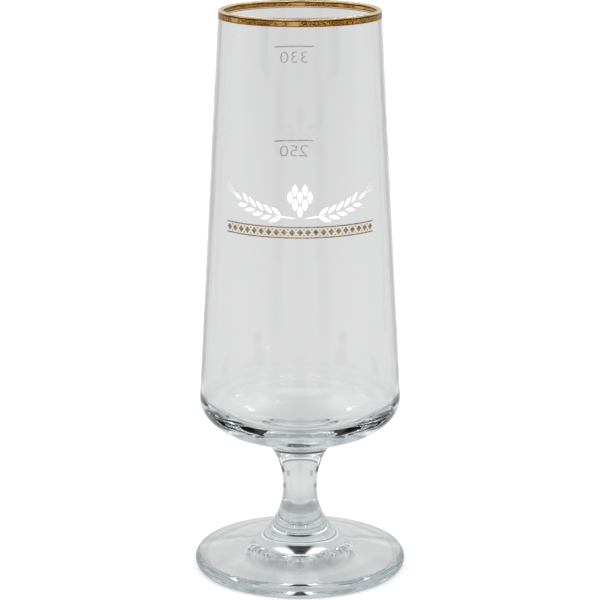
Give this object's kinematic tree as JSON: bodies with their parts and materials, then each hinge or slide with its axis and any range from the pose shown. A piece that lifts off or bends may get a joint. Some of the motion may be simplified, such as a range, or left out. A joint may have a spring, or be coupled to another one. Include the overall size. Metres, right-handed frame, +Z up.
{
  "type": "stemmed beer glass",
  "caption": "Tall tapered beer glass on a short waisted stem and a thick round foot, with a gilded rim, a fired ornament and fill lines.",
  "frame": {"origin": "middle of the foot's underside, on the surface the glass stands on", "axes": "+Z up along the glass's axis; the ornament faces -Y and the fill lines are on the +Y side"},
  "size_m": [0.0722, 0.0722, 0.192],
  "materials": {
    "clear_glass": "clear, fire-polished",
    "fired_gold": "burnished gold with a fine mottled grain",
    "white_enamel": "opaque fired enamel, satin",
    "grey_enamel": "thin frosted enamel"
  },
  "bodies": {
    "root": {"bowl": "clear_glass", "stem": "clear_glass", "foot": "clear_glass", "rim_gilding": "fired_gold", "upper_fill_line": "grey_enamel", "lower_fill_line": "grey_enamel", "white_ornament": "white_enamel", "gold_ornament": "fired_gold"}
  },
  "joints": []
}
